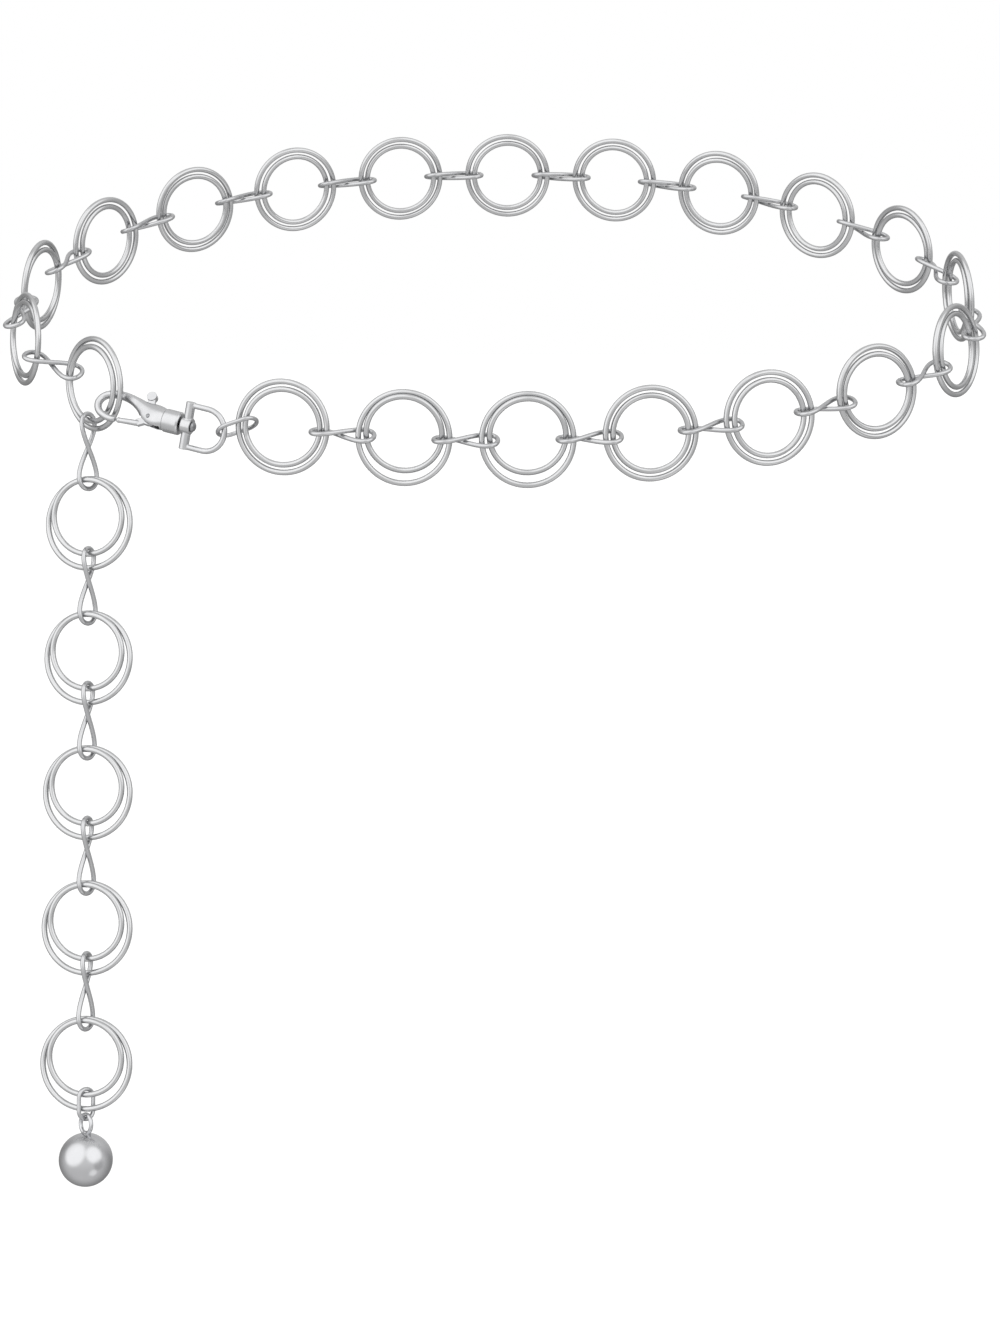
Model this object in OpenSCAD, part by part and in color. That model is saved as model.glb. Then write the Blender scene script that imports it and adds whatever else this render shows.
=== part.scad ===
// Waist chain of paired rings and figure-eight links, with a swivel trigger clasp and a ball on a tail.
// +Z is up, the front of the waist faces -Y, and the origin is the middle of the waist loop.

/* [Rings] */
// Outer diameter of the large ring of each pair
ring_od = 30.2; // [29.8:0.1:30.6]
// Outer diameter of the small ring of each pair
small_ring_od = 25.4; // [25:0.1:25.8]
// Thickness of the ring wire
ring_wire = 1.8; // [1.5:0.05:1.9]
// Height that the small ring rides above the large one in the hanging tail
tail_ring_rise = 2; // [1.6:0.1:2.2]
// Tilt of the small ring inside the large one round the waist, in degrees
small_ring_tilt = 3.5; // [1:0.5:5]

/* [Links] */
// Thickness of the link wire
link_wire = 1.5; // [1.3:0.05:1.6]
// Reach of each link round the waist past the middle of the two wires that it holds
link_hold = 3.75; // [3.5:0.05:3.9]
// Overall width of a figure-eight link
link_width = 8; // [7.9:0.1:8.2]
// Overall length of a figure-eight link in the tail
tail_link_length = 25.4; // [24.8:0.1:26]
// Turn of each link about its own length, in degrees
link_roll = 14; // [12:1:15]

/* [Waist] */
// Half of the loop's width, side to side
waist_half_width = 155; // [153:0.5:157]
// Depth of the loop from its middle to the back
back_depth = 113.5; // [112:0.5:115]
// Depth of the loop from its middle to the front
front_depth = 73.5; // [72:0.5:75]
// Slope of the loop, down towards the front, in degrees
waist_slope = 26.4; // [24:0.2:28]
// Rise of the loop at the sides of the hips
hip_rise = 2.6; // [0:0.2:5]
// Lean of the ring pairs at the back, to the slope of the hips, in degrees
back_ring_lean = 16.5; // [12:0.5:20]
// Lean of the ring pairs at the front, in degrees
front_ring_lean = -4; // [-8:0.5:0]

/* [Tail] */
// Number of ring pairs in the hanging tail
tail_pairs = 5; // [5]
// Forward lean of the tail, over the front of the hip, in degrees
tail_lean = 10; // [7:0.5:12]
// Turn of the topmost tail rings away from the front, in degrees
tail_turn = 18; // [15:1:22]
// Diameter of the ball
ball_d = 17; // [14:0.5:20]

/* [Clasp] */
// Diameter of the clasp's barrel
barrel_d = 7.4; // [7:0.1:8]
// Thickness of the gate lever
lever_t = 1.3; // [1:0.1:1.4]
// Diameter of the gate's hinge pin
hinge_pin_d = 1.2; // [1:0.1:1.4]
// Diameter of the swivel post
swivel_post_d = 1.8; // [1.6:0.1:2]
// Thickness of the D ring's wire
d_ring_wire = 1.8; // [1.6:0.1:2]
// Width of the D ring, along its straight bar
d_ring_width = 15; // [14.6:0.2:15.6]
// Turn of the D ring on its swivel post, in degrees
swivel_turn = 38; // [34:1:44]

/* [Hidden] */

// Clear space left between two loose pieces
gap = 0.1;
// Clear space between two ring wires that lie side by side
side_gap = 0.15;
// Ring pairs round the waist, from the clasp's D ring round to the pair that its hook holds
waist_pairs = 20;
// Place of the first pair on the loop, in degrees
first_pair_angle = 244.8;

ring_r = (ring_od - ring_wire) / 2;
small_ring_r = (small_ring_od - ring_wire) / 2;
small_hole_r = small_ring_r - ring_wire / 2;

// Points along a figure-eight link and sides of its wire
link_steps = 28;
wire_sides = 6;
// Half the step between the two strands of a link where they cross
link_cross = (link_wire + gap) / 2;
// Distance from the middle of a small ring to the link wire that bears on the inside of it
link_reach = small_hole_r - link_wire / 2 - 2 * gap;

// From the middle of the last pair to the end of the clasp's barrel: along, up from and out from
// the line that the clasp closes
clasp_offset = [34.88, -4.77, 3.81];
// Distance from the barrel to the middle of the D ring's bar, and the straight sides of its bow
bar_at = 2.1;
bow_leg = 6.2;
bow_r = (d_ring_width - d_ring_wire) / 2;
// The oval link from the D ring to the first pair, and the play that it has in the D ring's bow
small_link_wire = 1.35;
clasp_link_length = 14;
clasp_link_play = 0.5;
// Distance from the barrel to the end of the link, at the crown of the bow
clasp_link_reach = bar_at + bow_leg + bow_r - (d_ring_wire + small_link_wire) / 2 - clasp_link_play;
// Reach of the link past the middle of the two wires of the first pair
clasp_link_hold = 6.55;
// Length that the clasp closes, from the middle of the last pair to the middle of the first
clasp_span =
  clasp_offset.x + clasp_link_reach + clasp_link_length - small_link_wire - clasp_link_hold
  + (ring_r + small_ring_r) / 2;

function unit(v) = v / norm(v);

// Cross a vector's part at right angles to an axis
function square_to(v, axis) = unit(v - axis * (v * axis));

// A frame is the directions [along, up, out] of a piece, all at right angles
module place(at, f) {
  multmatrix([
    [f[0].x, f[1].x, f[2].x, at.x],
    [f[0].y, f[1].y, f[2].y, at.y],
    [f[0].z, f[1].z, f[2].z, at.z]
  ]) children();
}

// The waist loop: two half ellipses on a plane that slopes to the front, lifted a little at the hips
function loop_depth(q) = (sin(q) > 0 ? back_depth : front_depth) * sin(q);

function loop_point(q) = [
  waist_half_width * cos(q),
  loop_depth(q) * cos(waist_slope),
  loop_depth(q) * sin(waist_slope) + hip_rise * (pow(cos(q), 2) - 0.5)
];

// Length along the loop against angle, so that the pairs stand evenly along the chain
loop_steps = 720;
loop_step = 360 / loop_steps;
loop_lengths = [
  for (
    i = 0, s = 0, q = first_pair_angle;
    i <= loop_steps;
    s = s + norm(loop_point(q + loop_step) - loop_point(q)), q = q + loop_step, i = i + 1
  ) [s, q]
];

// The pairs share out the rest of the loop
ring_pitch = (loop_lengths[loop_steps][0] - clasp_span) / (waist_pairs - 1);

function pair_angle(i) = lookup(i * ring_pitch, loop_lengths);
function pair_centre(i) = loop_point(pair_angle(i));

// The lean grows evenly from the front of the loop to the back of it
function pair_lean(q) =
  front_ring_lean + (back_ring_lean - front_ring_lean)
  * (loop_depth(q) + front_depth) / (back_depth + front_depth);

function leaning_frame(along, lean) =
  let (out = unit(cross(along, [0, 0, 1])), up = cross(out, along))
  [along, up * cos(lean) - out * sin(lean), out * cos(lean) + up * sin(lean)];

function loop_frame(q) = leaning_frame(unit(loop_point(q + 0.3) - loop_point(q - 0.3)), pair_lean(q));

last = waist_pairs - 1;

// The line that the clasp closes, from the middle of the last pair to the near side of the first
clasp_line = pair_side(0, -1) - pair_centre(last);
clasp_line_frame = leaning_frame(unit(clasp_line), 0);

// The last pair is pulled round by the clasp's hook to this angle from the clasp's line, in degrees,
// and its rings are held apart in the links
last_pair_yaw = -25.7;
last_pair_spread = 0.95;

function pair_frame(i) =
  i == last ? last_pair_frame : loop_frame(pair_angle(i));

// Heading of a direction, seen from above
function heading(v) = atan2(v.y, v.x);

last_pair_level = loop_frame(pair_angle(last));
last_pair_turn = heading(clasp_line) + last_pair_yaw - heading(last_pair_level[0]);
last_pair_frame = [for (v = last_pair_level) [
  v.x * cos(last_pair_turn) - v.y * sin(last_pair_turn),
  v.x * sin(last_pair_turn) + v.y * cos(last_pair_turn),
  v.z
]];

// The tail hangs from the bottom of the last pair
tail_down = [0, -sin(tail_lean), -cos(tail_lean)];
// Turn from each tail pair to the next, in degrees
tail_turn_step = -2;
// Half the spread of the two ring wires where a tail link holds both, side by side
tail_spread = (ring_wire + side_gap) / 2;
tail_ring_lean = asin(tail_spread / small_ring_r);
// Room that two wires side by side need in the round bend of a link
bend_room = 1.05;
tail_reach_up = link_reach + tail_ring_rise - bend_room;
tail_reach_down = link_reach - tail_ring_rise;
tail_link_span = tail_link_length - link_wire;
tail_pitch = tail_reach_down + tail_link_span + tail_reach_up;
// The top link hangs a little in front of the middle of the last pair, clear of the link beside it
tail_top_shift = 0.2;
tail_top = pair_centre(last) - last_pair_frame[1] * link_reach + last_pair_frame[2] * tail_top_shift;

function tail_centre(i) = tail_top + tail_down * (tail_link_span + tail_reach_up + i * tail_pitch);

function tail_out(i) =
  let (a = tail_turn + i * tail_turn_step)
  square_to([-sin(a), -cos(a), 0], tail_down);

function tail_frame(i) = [cross(-tail_down, tail_out(i)), -tail_down, tail_out(i)];

// Where a link bears on the top of tail pair i, and the next one on the bottom of it
function tail_crown(i) = tail_centre(i) - tail_down * tail_reach_up;
function tail_foot(i) = tail_centre(i) + tail_down * tail_reach_down - tail_out(i) * tail_spread;

// Rings
module ring(r) {
  color("silver") rotate_extrude($fn = 72) translate([r, 0]) circle(d = ring_wire, $fn = 16);
}

// In two of the front pairs the small ring has slipped up, and its top rests on the front of the large ring
small_ring_rise = 1.25;
function is_raised(i) = i == 1 || i == 2;
raised_step = sqrt(pow(ring_wire + 1.2 * side_gap, 2) - pow(ring_r - small_ring_r - small_ring_rise, 2));
raised_lean = asin(raised_step / small_ring_r);

// In the other pairs the small ring is askew, one way and the other in turn, and in the last it is level
function small_ring_turn(i) =
  is_raised(i) ? [raised_lean, 0, 0]
  : i == last ? [0, 0, 0]
  : [0, (i % 2 == 0 ? 1 : -1) * small_ring_tilt, 0];

module waist_pair(i) {
  spread = i == last ? last_pair_spread : 0;
  rise = is_raised(i) ? small_ring_rise : 0;
  place(pair_centre(i), pair_frame(i)) {
    translate([0, 0, -spread / 2]) ring(ring_r);
    translate([0, rise, spread / 2]) rotate(small_ring_turn(i)) ring(small_ring_r);
  }
}

module tail_pair(i) {
  place(tail_centre(i), tail_frame(i)) {
    translate([0, 0, -tail_spread]) ring(ring_r);
    translate([0, tail_ring_rise, 0]) rotate([tail_ring_lean, 0, 0]) ring(small_ring_r);
  }
}

// The faces between two rounds of n points, numbered from a and from b
function band(a, b, n) = [
  for (j = [0:n - 1], half = [0, 1]) let (j2 = (j + 1) % n)
    half == 0 ? [a + j, b + j, b + j2] : [a + j, b + j2, a + j2]
];

// A closed round wire along a path, as a mesh
module wire_loop(path) {
  n = len(path);
  rings = [
    for (k = [0:n - 1]) let (
      along = unit(path[(k + 1) % n] - path[(k + n - 1) % n]),
      side = unit(cross([0, 0, 1], along)),
      top = cross(along, side)
    ) for (j = [0:wire_sides - 1]) let (a = 360 * j / wire_sides)
      path[k] + (side * cos(a) + top * sin(a)) * link_wire / 2
  ];
  faces = [for (k = [0:n - 1]) each band(k * wire_sides, ((k + 1) % n) * wire_sides, wire_sides)];
  color("gainsboro") polyhedron(rings, faces, convexity = 6);
}

// A figure-eight link from p to q, turned by link_roll from the out direction
module figure_eight(p, q, out, half_width) {
  along = unit(q - p);
  level = square_to(out, along);
  wide = level * cos(link_roll) - cross(level, along) * sin(link_roll);
  half_length = norm(q - p) / 2;
  place((p + q) / 2, [along, wide, cross(along, wide)])
    wire_loop([
      for (k = [0:link_steps - 1]) let (a = 360 * k / link_steps)
        [half_length * cos(a), half_width * sin(2 * a), link_cross * sin(a)]
    ]);
}

// The middle of the two wires of pair i, on the side towards the next pair or the one before
function pair_side(i, way) = pair_centre(i) + pair_frame(i)[0] * way * (ring_r + small_ring_r) / 2;

// The last link lies a little to the back in the last pair, midway between its two rings
last_link_shift = 0.16;

link_half_width = (link_width - link_wire) / 2;

// A short link is made wider, to be as wide as a long one where it holds a large ring
function waist_link_half_width(length) =
  let (a = acos(1 - 2 * (link_hold + (ring_r - small_ring_r) / 2) / length))
  link_half_width * max(1, sin(120) / sin(2 * a));

module waist_links() {
  for (i = [0:last - 1]) {
    shift = i + 1 == last ? last_link_shift : 0;
    a = pair_side(i, 1);
    b = pair_side(i + 1, -1) - pair_frame(i + 1)[2] * shift;
    reach = unit(b - a) * link_hold;
    half_width = waist_link_half_width(norm(b - a) + 2 * link_hold);
    figure_eight(a - reach, b + reach, pair_frame(i)[2] + pair_frame(i + 1)[2], half_width);
  }
}

module tail_links() {
  for (i = [0:tail_pairs - 1]) {
    from = i == 0 ? tail_top : tail_foot(i - 1);
    out = 3 * tail_out(i) + (i == 0 ? last_pair_frame[2] : tail_out(i - 1));
    figure_eight(from, tail_crown(i), out, link_half_width);
  }
}

// An oval link of round wire, its length along X
module oval_link(length, width, wire) {
  bend_r = (width - wire) / 2;
  half_side = (length - width) / 2;
  for (end = [-1, 1]) {
    translate([end * half_side, 0, 0]) rotate([0, 0, end * 90 - 180])
      rotate_extrude(angle = 180, $fn = 48) translate([bend_r, 0]) circle(d = wire, $fn = 16);
    translate([-half_side, end * bend_r, 0]) rotate([0, 90, 0])
      cylinder(h = 2 * half_side, d = wire, $fn = 16);
  }
}

// Play round a pin that turns, and round one that is fixed
hinge_gap = 0.06;
fixed_gap = 0.02;

// The clasp's frame: X runs from the hook to the swivel, and the origin is the end of the barrel.
// Its direction is given along, up from and out from the clasp's line, and its roll in degrees.
clasp_direction = [0.9991, -0.0037, -0.0419];
clasp_roll = -37.8;
clasp_at = pair_centre(last) + clasp_offset * clasp_line_frame;
clasp_along = unit(clasp_direction * clasp_line_frame);
clasp_level = square_to(clasp_line_frame[2], clasp_along);
clasp_out = clasp_level * cos(clasp_roll) + cross(clasp_along, clasp_level) * sin(clasp_roll);
clasp_frame = [clasp_along, cross(clasp_out, clasp_along), clasp_out];

// Sections of the hook, from its tip round the bend to the barrel: X, Y, width and thickness
hook_sections = [
  [-21.35, -4.1, 0.9, 1.1],
  [-21.6, -4.1, 1.5, 1.9],
  [-22.8, -4.25, 1.9, 2.2],
  [-25.3, -3.8, 2.1, 2.3],
  [-27.9, -2.4, 2.3, 2.5],
  [-29.2, 0, 2.4, 2.6],
  [-28.8, 2.3, 2.4, 2.6],
  [-27.1, 3.9, 2.4, 2.6],
  [-24.5, 4.6, 2.6, 2.7],
  [-21.5, 4.6, 2.8, 2.9],
  [-18.5, 4, 3.1, 3.2],
  [-16, 3.1, 3.8, 3.6],
  [-13.8, 2.1, 5, 4.2],
  [-11.8, 1.2, 6.8, 4.8],
  [-9.5, 0.5, 7.8, 5.6],
  [-7, 0.1, 7.5, 6.3],
  [-5, 0, 6.6, 6.4]
];
// Points round each section, and sections from one row to the next
hook_sides = 14;
hook_steps = 3;
// Length of the barrel
barrel_l = 5.5;

// A smooth curve through the rows of a table, at row t
function row(rows, i) = rows[max(0, min(len(rows) - 1, i))];

function smooth_row(rows, t) =
  let (
    i = min(floor(t), len(rows) - 2),
    s = t - i,
    a = row(rows, i - 1),
    b = row(rows, i),
    c = row(rows, i + 1),
    d = row(rows, i + 2)
  )
  b + (c - a) * s / 2 + (2 * a - 5 * b + 4 * c - d) * s * s / 2 + (3 * b - a - 3 * c + d) * s * s * s / 2;

module hook() {
  count = (len(hook_sections) - 1) * hook_steps;
  rows = [for (k = [0:count]) smooth_row(hook_sections, k / hook_steps)];
  points = [
    for (k = [0:count]) let (
      ahead = rows[min(k + 1, count)] - rows[max(k - 1, 0)],
      across = unit([-ahead.y, ahead.x])
    ) for (j = [0:hook_sides - 1]) let (
      a = 360 * (j + 0.5) / hook_sides,
      side = rows[k][2] / 2 * cos(a)
    ) [rows[k].x + across.x * side, rows[k].y + across.y * side, rows[k][3] / 2 * sin(a)]
  ];
  sides = [for (k = [0:count - 1]) each band(k * hook_sides, (k + 1) * hook_sides, hook_sides)];
  tip = [for (j = [0:hook_sides - 1]) j];
  root = [for (j = [hook_sides - 1:-1:0]) count * hook_sides + j];
  polyhedron(points, concat([tip], sides, [root]), convexity = 6);
}

// The lever's hinge pin, the hub round it and the arms
hinge = [-10.6, -1.2];
gate_pin_l = 5;
lever_hub_d = 4.4;
lever_arm_w = 2.4;
// The thumb lug, a short round bar across the end of the upper arm
lug = [-13, 6.6];
lug_d = 3.2;
lug_l = 2.2;
// The gate, a tapered rod with a round end that closes on the tip of the hook
gate_root = [-14, -3.5];
gate_tip = [-20.1, -4.05];
gate_root_d = 1.9;
gate_tip_d = 1.6;
gate_end_d = 1.8;
// The slot that the lever works in, from one X to the other, and its play on each side of the lever
slot_from = -14.4;
slot_to = -6.2;
slot_play = 0.3;

// A hole right across the clasp
module bore(at, d) {
  translate([at.x, at.y, -barrel_d]) cylinder(h = 2 * barrel_d, d = d, $fn = 32);
}

module clasp_body() {
  slot_w = lever_t + 2 * slot_play;
  color("silver") place(clasp_at, clasp_frame) difference() {
    union() {
      hook();
      translate([-barrel_l, 0, 0]) rotate([0, 90, 0]) cylinder(h = barrel_l, d = barrel_d, $fn = 48);
    }
    translate([slot_from, -barrel_d, -slot_w / 2]) cube([slot_to - slot_from, 2 * barrel_d, slot_w]);
    bore(hinge, hinge_pin_d + 2 * fixed_gap);
    translate([-post_depth - fixed_gap, 0, 0]) rotate([0, 90, 0])
      cylinder(h = 2 * post_depth, d = swivel_post_d + 2 * fixed_gap, $fn = 32);
  }
}

module gate_pin() {
  color("gray") place(clasp_at, clasp_frame)
    translate([hinge.x, hinge.y, -gate_pin_l / 2]) cylinder(h = gate_pin_l, d = hinge_pin_d, $fn = 32);
}

// A flat bar with one end at p and the other at q
module flat_bar(p, q, w) {
  translate(p) rotate(atan2(q.y - p.y, q.x - p.x)) translate([0, -w / 2]) square([norm(q - p), w]);
}

module gate_lever() {
  gate = gate_tip - gate_root;
  color("silver") place(clasp_at, clasp_frame) {
    difference() {
      union() {
        translate([0, 0, -lever_t / 2]) linear_extrude(lever_t) {
          translate(hinge) circle(d = lever_hub_d, $fn = 48);
          flat_bar(hinge, lug, lever_arm_w);
          flat_bar(hinge, gate_root, lever_arm_w);
        }
        translate([lug.x, lug.y, -lug_l / 2]) cylinder(h = lug_l, d = lug_d, $fn = 48);
      }
      bore(hinge, hinge_pin_d + 2 * hinge_gap);
    }
    translate(gate_root) rotate([0, 90, atan2(gate.y, gate.x)]) {
      sphere(d = gate_root_d, $fn = 32);
      cylinder(h = norm(gate), d1 = gate_root_d, d2 = gate_tip_d, $fn = 32);
    }
    translate(gate_tip) sphere(d = gate_end_d, $fn = 32);
  }
}

// The swivel: a headed post in the barrel's end, with the boss of the D ring's bar turning on it
post_depth = 3.5;
head_d = 3.4;
head_h = 1.2;
// Play of the boss along the post
swivel_play = 0.1;
bar_d = 3;
boss_d = 5;
boss_l = 3.2;

module swivel_post() {
  shaft = post_depth + bar_at + boss_l / 2 + swivel_play;
  color("gray") place(clasp_at, clasp_frame) rotate([0, 90, 0]) {
    translate([0, 0, -post_depth]) cylinder(h = shaft + fixed_gap, d = swivel_post_d, $fn = 32);
    translate([0, 0, shaft - post_depth]) intersection() {
      cylinder(h = head_h, d = head_d, $fn = 48);
      translate([0, 0, head_h - head_d * 0.7]) sphere(d = head_d * 1.4, $fn = 48);
    }
  }
}

module clasp_d_ring() {
  color("silver") place(clasp_at, clasp_frame) rotate([swivel_turn, 0, 0]) difference() {
    union() {
      translate([bar_at, -d_ring_width / 2, 0]) rotate([-90, 0, 0])
        cylinder(h = d_ring_width, d = bar_d, $fn = 48);
      translate([bar_at - boss_l / 2, 0, 0]) rotate([0, 90, 0]) cylinder(h = boss_l, d = boss_d, $fn = 48);
      for (side = [-1, 1]) translate([bar_at, side * bow_r, 0]) rotate([0, 90, 0])
        cylinder(h = bow_leg, d = d_ring_wire, $fn = 32);
      translate([bar_at + bow_leg, 0, 0]) rotate([0, 0, -90])
        rotate_extrude(angle = 180, $fn = 72) translate([bow_r, 0]) circle(d = d_ring_wire, $fn = 32);
    }
    translate([bar_at - boss_l, 0, 0]) rotate([0, 90, 0])
      cylinder(h = 2 * boss_l, d = swivel_post_d + 2 * hinge_gap, $fn = 32);
  }
}

// The width of the link from the D ring to the first pair, and its roll about its own length, in degrees
clasp_link_width = 8.5;
clasp_link_roll = 32;
// It starts at the crown of the D ring's bow, and points to a place out from and below the rings' middle
clasp_link_out = 0.8;
clasp_link_drop = 1;

module clasp_link() {
  f = pair_frame(0);
  from = clasp_at + clasp_along * clasp_link_reach;
  to = pair_side(0, -1) + f[2] * clasp_link_out - f[1] * clasp_link_drop;
  along = unit(to - from);
  level = square_to(f[2] * cos(clasp_link_roll) + f[1] * sin(clasp_link_roll), along);
  middle = from + along * (clasp_link_length - small_link_wire) / 2;
  color("gainsboro") place(middle, [along, level, cross(along, level)])
    oval_link(clasp_link_length, clasp_link_width, small_link_wire);
}

// The oval link at the end of the tail, and its turn about the tail, in degrees
end_link_length = 10.8;
end_link_width = 6.6;
end_link_turn = -50;
// The eye of the ball, and how far the ball reaches into the eye's wire
eye_r = 3;
ball_sink = 0.3;

module end_link() {
  f = tail_frame(tail_pairs - 1);
  across = f[0] * cos(end_link_turn) + f[2] * sin(end_link_turn);
  middle = tail_foot(tail_pairs - 1) + tail_down * (end_link_length - small_link_wire) / 2;
  color("gainsboro") place(middle, [tail_down, across, cross(tail_down, across)])
    oval_link(end_link_length, end_link_width, small_link_wire);
}

module ball() {
  f = tail_frame(tail_pairs - 1);
  across = f[2] * cos(end_link_turn) - f[0] * sin(end_link_turn);
  top = tail_centre(tail_pairs - 1) - f[2] * tail_spread;
  eye_at = tail_reach_down + end_link_length - 2 * small_link_wire - gap + eye_r;
  ball_at = eye_at + eye_r + ball_d / 2 - ball_sink;
  color("silver") place(top, [across, -tail_down, cross(across, -tail_down)]) {
    translate([0, -eye_at, 0]) rotate_extrude($fn = 48) translate([eye_r, 0])
      circle(d = small_link_wire, $fn = 16);
    translate([0, -ball_at, 0]) sphere(d = ball_d, $fn = 64);
  }
}

// Every piece, or the one that is asked for
for (i = [0:last]) waist_pair(i);
for (i = [0:tail_pairs - 1]) tail_pair(i);
waist_links();
tail_links();
end_link();
ball();
clasp_link();
clasp_d_ring();
swivel_post();
clasp_body();
gate_pin();
gate_lever();
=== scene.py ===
# %% [markdown]
# A waist chain: pairs of polished rings joined by figure-eight links of round wire, a cast swivel
# clasp over the right hip, and a tail of ring pairs that ends in a ball.
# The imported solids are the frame. Each piece below stands where its solid stands, with the smooth
# wire, rounded castings and plated finish that the real chain shows.

# %% Load the frame and keep its box
import math

import bpy
import numpy as np
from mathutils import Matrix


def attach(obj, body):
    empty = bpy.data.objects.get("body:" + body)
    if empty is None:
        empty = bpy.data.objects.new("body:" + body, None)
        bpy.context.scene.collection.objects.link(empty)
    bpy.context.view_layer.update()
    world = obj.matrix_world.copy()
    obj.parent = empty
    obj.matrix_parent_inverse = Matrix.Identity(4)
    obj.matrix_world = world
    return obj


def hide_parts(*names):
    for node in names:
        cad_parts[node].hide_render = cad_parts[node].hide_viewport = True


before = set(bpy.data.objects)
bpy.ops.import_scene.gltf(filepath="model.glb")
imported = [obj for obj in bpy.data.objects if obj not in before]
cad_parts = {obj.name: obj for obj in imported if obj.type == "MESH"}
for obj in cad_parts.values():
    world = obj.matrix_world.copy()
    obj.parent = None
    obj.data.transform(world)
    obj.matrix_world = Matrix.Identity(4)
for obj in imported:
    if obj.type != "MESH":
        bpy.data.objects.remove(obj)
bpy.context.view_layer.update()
print("nodes in the frame:", len(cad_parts))

# %% [markdown]
# All the sizes below are in millimetres, as on a maker's drawing, and a mesh is scaled to metres
# when it is made. A direction is a numpy array, and a frame is three of them at right angles:
# along a piece, up it, and out of it.

# %% Units and directions
MM = 0.001


def vec(*numbers):
    return np.array(numbers, float)


def unit(v):
    return v / np.linalg.norm(v)


def square_to(v, axis):
    return unit(v - axis * np.dot(v, axis))


def place(points, at, axes):
    """Points in a piece's own axes, put at a place in the frame [along, up, out]."""
    return np.asarray(points, float) @ np.array(axes) + at


def turned(points, axis, degrees):
    """Points turned about the X, Y or Z axis of the piece."""
    c, s = math.cos(math.radians(degrees)), math.sin(math.radians(degrees))
    turns = {
        "X": [[1, 0, 0], [0, c, s], [0, -s, c]],
        "Y": [[c, 0, -s], [0, 1, 0], [s, 0, c]],
        "Z": [[c, s, 0], [-s, c, 0], [0, 0, 1]],
    }
    return np.asarray(points, float) @ np.array(turns[axis])


# %% [markdown]
# The chain hangs in a loop that is lower at the front, as on hips. Seen square to its slope, the
# loop is two half ellipses, a deeper one behind. A list of lengths along it lets the pairs stand
# evenly, as a real chain's do, whatever the curve.

# %% The waist loop
WAIST_HALF_WIDTH = 155
BACK_DEPTH = 113.5
FRONT_DEPTH = 73.5
WAIST_SLOPE = math.radians(26.4)
HIP_RISE = 2.6
BACK_RING_LEAN = 16.5
FRONT_RING_LEAN = -4
WAIST_PAIRS = 20
CLASP_SPAN = 66.8
FIRST_PAIR_ANGLE = 244.8


def loop_depth(q):
    s = math.sin(math.radians(q))
    return (BACK_DEPTH if s > 0 else FRONT_DEPTH) * s


def loop_point(q):
    depth = loop_depth(q)
    side = math.cos(math.radians(q))
    lift = HIP_RISE * (side**2 - 0.5)
    return vec(
        WAIST_HALF_WIDTH * side, depth * math.cos(WAIST_SLOPE), depth * math.sin(WAIST_SLOPE) + lift
    )


loop_angles = FIRST_PAIR_ANGLE + np.arange(0, 360.5, 0.5)
loop_points = np.array([loop_point(q) for q in loop_angles])
loop_steps = np.linalg.norm(np.diff(loop_points, axis=0), axis=1)
loop_lengths = np.concatenate([[0], np.cumsum(loop_steps)])
ring_pitch = (loop_lengths[-1] - CLASP_SPAN) / (WAIST_PAIRS - 1)
print("round the loop: %.0f mm, from pair to pair: %.1f mm" % (loop_lengths[-1], ring_pitch))

# %% [markdown]
# Each pair of rings faces outwards from the loop and leans with the hip. The clasp closes the line
# from the last pair to the near side of the first, and its hook pulls the last pair round.

# %% Where each pair of rings stands
RING_OD = 30.2
SMALL_RING_OD = 25.4
RING_WIRE = 1.8
RING_R = (RING_OD - RING_WIRE) / 2
SMALL_RING_R = (SMALL_RING_OD - RING_WIRE) / 2
LAST = WAIST_PAIRS - 1
LAST_PAIR_YAW = -25.7


def heading(v):
    return math.degrees(math.atan2(v[1], v[0]))


def pair_angle(i):
    return float(np.interp(i * ring_pitch, loop_lengths, loop_angles))


def pair_centre(i):
    return loop_point(pair_angle(i))


def leaning_frame(along, lean):
    out = unit(np.cross(along, vec(0, 0, 1)))
    up = np.cross(out, along)
    c, s = math.cos(math.radians(lean)), math.sin(math.radians(lean))
    return np.array([along, up * c - out * s, out * c + up * s])


def loop_frame(i):
    q = pair_angle(i)
    back_share = (loop_depth(q) + FRONT_DEPTH) / (BACK_DEPTH + FRONT_DEPTH)
    lean = FRONT_RING_LEAN + (BACK_RING_LEAN - FRONT_RING_LEAN) * back_share
    return leaning_frame(unit(loop_point(q + 0.3) - loop_point(q - 0.3)), lean)


def loop_side(i, way):
    return pair_centre(i) + loop_frame(i)[0] * way * (RING_R + SMALL_RING_R) / 2


clasp_line = loop_side(0, -1) - pair_centre(LAST)
clasp_line_frame = leaning_frame(unit(clasp_line), 0)
last_turn = heading(clasp_line) + LAST_PAIR_YAW - heading(loop_frame(LAST)[0])


def pair_frame(i):
    return turned(loop_frame(i), "Z", last_turn) if i == LAST else loop_frame(i)


# %% [markdown]
# A smooth metal wire is a tube: a round section carried along a path. The same function makes the
# rings, the links, the hook and the bow of the D ring, because each of them is a section that
# follows a line. Open tubes get flat ends, and a closed one joins up with itself.

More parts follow.
